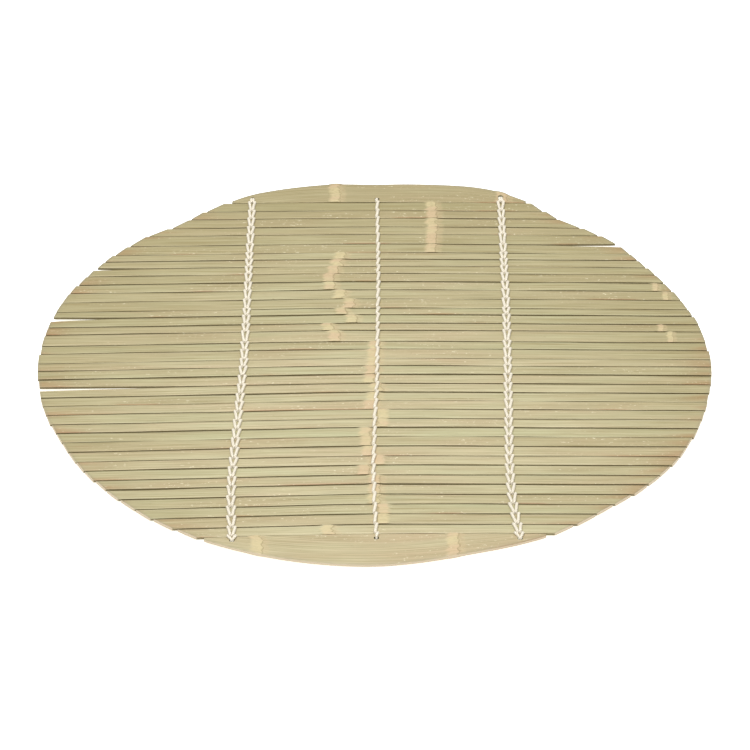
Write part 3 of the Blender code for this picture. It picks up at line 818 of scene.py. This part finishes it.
def strandRoute(name, side, phase, dice):
    # one strand from the far hole to the near hole, over every second strip
    route = cordRoutes[name]
    last = len(stripNames) - 1
    points, widths = [], []
    squeeze, inset, shoulder = cord["squeeze"], cord["edgeInset"], cord["shoulder"]
    onTop = cord["centreWidth"] if name == "cord_centre" else 1.0

    def addPoint(x, y, z, width=1.0):
        points.append((x, y, z))
        widths.append(width)

    for number in range(last + 1):
        over = (number + phase) % 2 == 0
        pick = 0 if over else 1
        rest = onTop if over else cord["underWidth"]
        guess = cordX(route, edgeY(number, 0, cordX(route, 0.0)))
        top, bottom = edgeY(number, 0, guess), edgeY(number, 1, guess)
        far, near = strandReach(name, side, top)
        start, end = (far, near) if over else (near, far)
        if number == 0:
            # up or down out of the far hole
            hole = holePlace(route, 0)
            top = hole[1]
            start = side * cord["endSpread"]
            steps, rise = cord["farHoleSteps"], cord["farHoleRise"][pick]
            addPoint(hole[0] + start, top - steps[0], midHeight, cord["holeWidth"])
            addPoint(hole[0] + start, top - steps[1], midHeight + rise, cord["holeWidth"])
        if number == last:
            hole = holePlace(route, -1)
            bottom = hole[1]
            end = side * cord["endSpread"]
        places = [(0.0, top - inset), (0.1, top - shoulder), (0.5, (top + bottom) / 2),
                  (0.9, bottom + shoulder), (1.0, bottom + inset)]
        for index, (share, y) in enumerate(places):
            if number == 0 and index < 2 or number == last and index > 2:
                continue
            atEdge = index in (0, 4)
            x = cordX(route, y) + start + (end - start) * share + dice.uniform(-1, 1) * cord["wander"]
            z = restHeight(x, y, over) + (cord["edgeShift"][pick] if atEdge else 0.0)
            addPoint(x, y, z, cord["edgeWidth"] * rest if atEdge else rest)
        if number < last:
            gapY = (edgeY(number, 1, guess) + edgeY(number + 1, 0, guess)) / 2
            addPoint(cordX(route, gapY) + end, gapY, cord["gapHeight"], squeeze)
        else:
            # and into the near one
            rise = cord["nearHoleRise"][pick]
            addPoint(hole[0] + end, bottom + cord["nearHoleStep"], midHeight + rise, cord["underWidth"])
            addPoint(hole[0] + end, bottom, midHeight)
    return points, widths


def sewCord(name):
    dice = random.Random(cord["seed"] + len(name))
    sides = (0,) if name == "cord_centre" else (-1, 1)
    strands = [strandRoute(name, side, phase, dice) for side in sides for phase in (0, 1)]
    lines, widths = zip(*strands)
    guide = newGuide(name + "_route", lines, widths)
    piece = newPiece(name.replace("cord_", "") + "_cord", [(0, 0, 0)])
    growMesh(piece, strandTree, {**strand, "Route": guide, "Radius": cord["strandRadius"],
                                 "Material": twistedCotton})
    bpy.data.objects.remove(guide, do_unlink=True)
    return piece


cords = {name: sewCord(name) for name in cordRoutes}


# studio: pale floor, soft light and the photograph's view

studio = {
    "elevation": math.radians(34.4),
    "distance": 1.414,
    "aim": (0.0002, -0.0095, 0.0025),
    "focal": 190.5,
    "sensor": 36.0,
    "floor": "#F5F5F3",
    "floorRoughness": 0.9,
    "floorGlow": 0.7,         # the paper is lit from behind, as for a picture without shadows
    "floorSize": 6.0,
    "world": 0.62,
    "overhead": {"place": (-0.25, -0.1, 1.6), "size": 1.5, "power": 24.0},
    "frontFill": {"place": (0.8, -2.4, 1.9), "size": 1.8, "power": 20.0},
}


def makePaleFloor():
    # Matt white paper under the mat
    material = bpy.data.materials.new("whitePaper")
    material.use_nodes = True
    shader = material.node_tree.nodes["Principled BSDF"]
    shader.inputs["Base Color"].default_value = toLinear(studio["floor"])
    shader.inputs["Roughness"].default_value = studio["floorRoughness"]
    shader.inputs["Emission Color"].default_value = (1.0, 1.0, 1.0, 1.0)
    shader.inputs["Emission Strength"].default_value = studio["floorGlow"]
    half = studio["floorSize"] / 2
    mesh = bpy.data.meshes.new("floor")
    corners = [(-half, -half, 0), (half, -half, 0), (half, half, 0), (-half, half, 0)]
    mesh.from_pydata(corners, [], [(0, 1, 2, 3)])
    mesh.materials.append(material)
    floor = bpy.data.objects.new("floor", mesh)
    bpy.context.scene.collection.objects.link(floor)
    return floor


def addSoftLight(name, place, size, power):
    light = bpy.data.lights.new(name, "AREA")
    light.shape = "SQUARE"
    light.size = size
    light.energy = power
    lamp = bpy.data.objects.new(name, light)
    lamp.location = place
    lamp.rotation_euler = (-Vector(place)).to_track_quat("-Z", "Y").to_euler()
    bpy.context.scene.collection.objects.link(lamp)


def addCamera():
    aim = Vector(studio["aim"])
    rise, back = math.sin(studio["elevation"]), math.cos(studio["elevation"])
    lens = bpy.data.cameras.new("camera")
    lens.lens = studio["focal"]
    lens.sensor_width = studio["sensor"]
    camera = bpy.data.objects.new("camera", lens)
    camera.location = aim + studio["distance"] * Vector((0, -back, rise))
    camera.rotation_euler = (aim - camera.location).to_track_quat("-Z", "Y").to_euler()
    bpy.context.scene.collection.objects.link(camera)
    bpy.context.scene.camera = camera


floor = makePaleFloor()
addSoftLight("overhead", **studio["overhead"])
addSoftLight("front_fill", **studio["frontFill"])
world = bpy.data.worlds.new("studio")
world.use_nodes = True
world.node_tree.nodes["Background"].inputs["Color"].default_value = (1.0, 1.0, 1.0, 1.0)
world.node_tree.nodes["Background"].inputs["Strength"].default_value = studio["world"]
bpy.context.scene.world = world
bpy.context.scene.view_settings.view_transform = "Standard"
addCamera()
print("studio ready")


# what stands for what

for piece, nodes in ((slats, slatNames), (farPiece, ["end_piece_far"]), (nearPiece, ["end_piece_near"])):
    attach(piece, "root")
    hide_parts(*nodes)
for name, piece in cords.items():
    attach(piece, "root")
    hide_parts(name)
